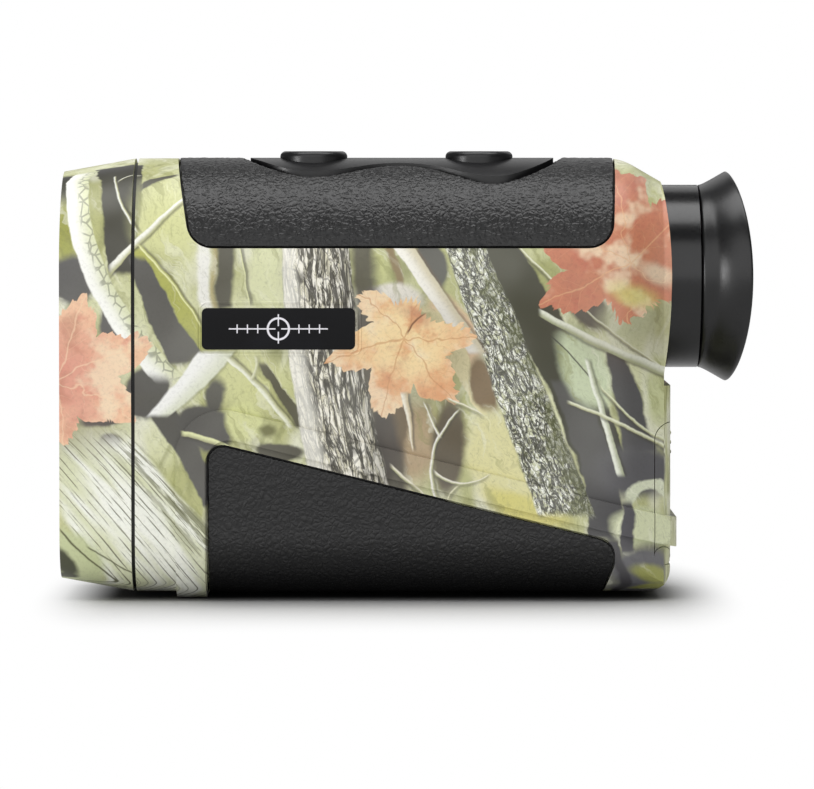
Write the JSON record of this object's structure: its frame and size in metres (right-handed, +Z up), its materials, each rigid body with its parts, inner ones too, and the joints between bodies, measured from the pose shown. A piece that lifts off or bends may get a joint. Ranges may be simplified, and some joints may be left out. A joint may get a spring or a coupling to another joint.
{
  "type": "laser rangefinder",
  "caption": "Handheld monocular laser rangefinder with camo shell, rubber grips, push buttons on top, flared eyecup and hinged rear battery door.",
  "frame": {"origin": "middle of the footprint in plan, on the plane of the lowest face (the foot of the raised band)", "axes": "+X from the objective end towards the eyepiece, +Z up, +Y towards the side with the lanyard bar"},
  "size_m": [0.115, 0.0418, 0.0744],
  "materials": {
    "camo_shell": "satin printed woodland pattern on moulded plastic",
    "grip_rubber": "grained moulded rubber",
    "smooth_black": "fine satin",
    "badge_gloss": "gloss black with a pale reticle mark",
    "eyepiece_black": "satin black",
    "cup_rubber": "smooth satin rubber",
    "seal_rubber": "matt",
    "lens_glass": "coated optical glass",
    "prism_glass": "polished",
    "inner_black": "matt, light-absorbing",
    "board_green": "solder mask",
    "chip_black": "moulded",
    "flex_amber": "polyimide film",
    "steel": "plated",
    "brass": "plated",
    "cell_wrap": "plain shrink wrap",
    "plunger_grey": "moulded"
  },
  "bodies": {
    "housing": {"battery_box": "inner_black", "battery_cell": "cell_wrap", "battery_gasket": "seal_rubber", "bezel_screws": "steel", "board_chips": "chip_black", "body_gasket": "seal_rubber", "bottom_grip": "grip_rubber", "button_board": "board_green", "button_panel": "smooth_black", "collimator_lens": "lens_glass", "display_frame": "inner_black", "emitter_tube": "inner_black", "emitter_window": "lens_glass", "eyepiece_seal": "seal_rubber", "eyepiece_tube": "eyepiece_black", "flex_cable": "flex_amber", "front_bezel": "camo_shell", "front_plate": "smooth_black", "half_penta_prism": "prism_glass", "hinge_pin": "steel", "lanyard_bar": "steel", "laser_board": "board_green", "laser_diode": "brass", "left_shell": "camo_shell", "lens_lock_rings": "inner_black", "main_board": "board_green", "objective_crown_lens": "lens_glass", "objective_flint_lens": "lens_glass", "objective_tube": "inner_black", "objective_window": "lens_glass", "positive_contact": "brass", "prism_cover": "inner_black", "prism_housing": "inner_black", "receiver_board": "board_green", "receiver_photodiode": "steel", "reticle_display": "prism_glass", "right_shell": "camo_shell", "roof_prism": "prism_glass", "side_badges": "badge_gloss", "side_screws": "steel", "stem_seals": "seal_rubber", "tact_switches": "chip_black", "top_grip": "grip_rubber", "window_rings": "inner_black"},
    "power_button_body": {"power_button": "smooth_black"},
    "mode_button_body": {"mode_button": "smooth_black"},
    "power_plunger_body": {"power_switch_plunger": "plunger_grey"},
    "mode_plunger_body": {"mode_switch_plunger": "plunger_grey"},
    "eyecup_body": {"eyecup": "cup_rubber", "diopter_ring": "eyepiece_black"},
    "ocular_body": {"ocular_cell": "eyepiece_black", "focus_key": "steel", "field_lens": "lens_glass", "eye_lens": "lens_glass", "lens_spacer": "inner_black", "ocular_lock_ring": "inner_black"},
    "door_body": {"battery_door": "camo_shell", "door_pad": "seal_rubber", "battery_spring": "steel"},
    "latch_body": {"door_latch": "camo_shell"}
  },
  "joints": [
    {"name": "power_press", "type": "slide", "parent": "housing", "child": "power_button_body", "axis": [0, 0, -1], "range_m": [0, 0.0005], "stiffness_N_per_m": 400},
    {"name": "mode_press", "type": "slide", "parent": "housing", "child": "mode_button_body", "axis": [0, 0, -1], "range_m": [0, 0.0005], "stiffness_N_per_m": 400},
    {"name": "power_plunger_travel", "type": "slide", "parent": "housing", "child": "power_plunger_body", "axis": [0, 0, -1], "range_m": [0, 0.00051]},
    {"name": "mode_plunger_travel", "type": "slide", "parent": "housing", "child": "mode_plunger_body", "axis": [0, 0, -1], "range_m": [0, 0.00051]},
    {"name": "diopter_turn", "type": "hinge", "parent": "housing", "child": "eyecup_body", "pos_m": [0.049, 0, 0.0534], "axis": [1, 0, 0], "range_deg": [-120, 120]},
    {"name": "ocular_travel", "type": "slide", "parent": "housing", "child": "ocular_body", "axis": [1, 0, 0], "range_m": [-0.00201, 0.00201]},
    {"name": "battery_door_hinge", "type": "hinge", "parent": "housing", "child": "door_body", "pos_m": [0.0426, 0, 0.0072], "axis": [0, 1, 0], "range_deg": [0, 95]},
    {"name": "door_latch_slide", "type": "slide", "parent": "door_body", "child": "latch_body", "axis": [0, 0, -1], "range_m": [0, 0.0012]}
  ],
  "couplings": [
    {"joint": "power_plunger_travel", "follows": "power_press", "ratio": 1},
    {"joint": "mode_plunger_travel", "follows": "mode_press", "ratio": 1},
    {"joint": "ocular_travel", "follows": "diopter_turn", "m_per_rad": 0.00095493}
  ]
}
